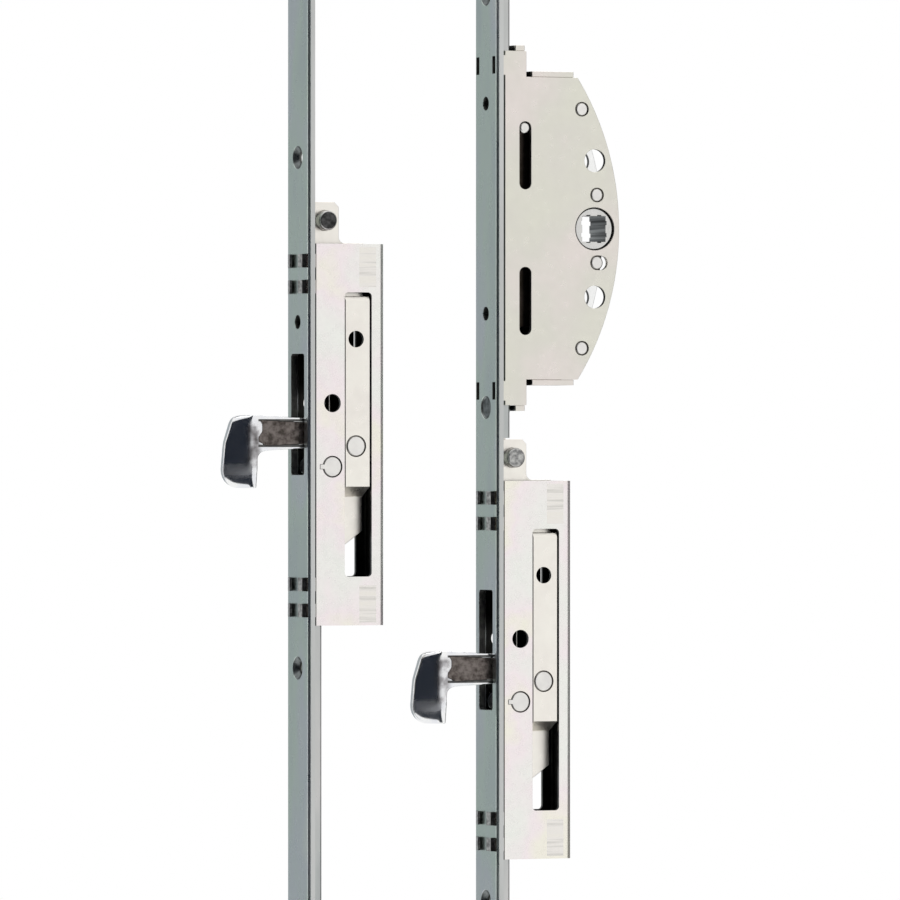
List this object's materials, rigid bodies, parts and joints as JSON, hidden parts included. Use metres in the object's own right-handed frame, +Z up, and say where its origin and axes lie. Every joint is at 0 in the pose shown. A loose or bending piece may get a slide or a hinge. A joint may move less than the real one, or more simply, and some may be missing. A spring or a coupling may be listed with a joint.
{
  "type": "window espagnolette",
  "caption": "Espagnolette in two lengths: slim forends with rails behind them, a handle gearbox with an arched back, and sheet cases with swinging hooks.",
  "frame": {"origin": "on the axis of the handle's square spindle, halfway through the gearbox", "axes": "+X from the forend into the sash, +Y to the far side of the sash, +Z up along the forend"},
  "size_m": [0.1347, 0.016, 0.369],
  "materials": {
    "forend": "grey-green zinc plate",
    "rail": "zinc plate",
    "gearbox_plate": "pale passivated zinc plate",
    "case_sheet": "pale passivated zinc plate with a faint iridescence",
    "slider": "zinc plate",
    "rivet": "satin",
    "turned_steel": "turned",
    "follower": "sintered, satin",
    "rack": "dark oiled steel",
    "guide_pin": "dark steel",
    "hook_casting": "cast steel, polished on the nose"
  },
  "bodies": {
    "frame": {"main_forend": "forend", "gearbox_cover": "gearbox_plate", "gearbox_case": "gearbox_plate", "gearbox_rivets": "rivet", "gearbox_spacers": "turned_steel", "rail_guide_rivet": "forend", "main_hook_case": "case_sheet", "main_hook_pivot": "rivet", "top_forend": "forend", "top_hook_case": "case_sheet", "top_hook_pivot": "rivet"},
    "follower": {"follower": "follower"},
    "main_rail": {"main_rail_upper": "rail", "rack": "rack", "rack_pin": "rivet", "main_rail_lower": "rail", "main_slider": "slider", "main_slider_pin": "rivet", "main_slider_arm": "slider", "main_guide_pin": "guide_pin", "main_slider_tongue": "slider"},
    "main_hook": {"main_hook": "hook_casting"},
    "top_rail": {"top_rail": "rail", "top_slider": "slider", "top_slider_pin": "rivet", "top_slider_arm": "slider", "top_guide_pin": "guide_pin", "top_slider_tongue": "slider"},
    "top_hook": {"top_hook": "hook_casting"}
  },
  "joints": [
    {"name": "main_rail_slide", "type": "slide", "parent": "frame", "child": "main_rail", "axis": [0, 0, -1], "range_m": [0, 0.0157]},
    {"name": "handle_turn", "type": "hinge", "parent": "frame", "child": "follower", "pos_m": [0, 0, 0], "axis": [0, -1, 0], "range_deg": [0, 90]},
    {"name": "top_rail_slide", "type": "slide", "parent": "frame", "child": "top_rail", "axis": [0, 0, -1], "range_m": [0, 0.0157]},
    {"name": "main_hook_turn", "type": "hinge", "parent": "frame", "child": "main_hook", "pos_m": [-0.026, 0, -0.149], "axis": [0, 1, 0], "range_deg": [0, 87]},
    {"name": "top_hook_turn", "type": "hinge", "parent": "frame", "child": "top_hook", "pos_m": [-0.091, 0, -0.075], "axis": [0, 1, 0], "range_deg": [0, 87]}
  ],
  "couplings": [
    {"joint": "handle_turn", "follows": "main_rail_slide", "rad_per_m": 100},
    {"joint": "top_rail_slide", "follows": "main_rail_slide", "ratio": 1},
    {"joint": "main_hook_turn", "follows": "main_rail_slide", "rad_per_m": 96.66},
    {"joint": "top_hook_turn", "follows": "main_rail_slide", "rad_per_m": 96.66}
  ]
}
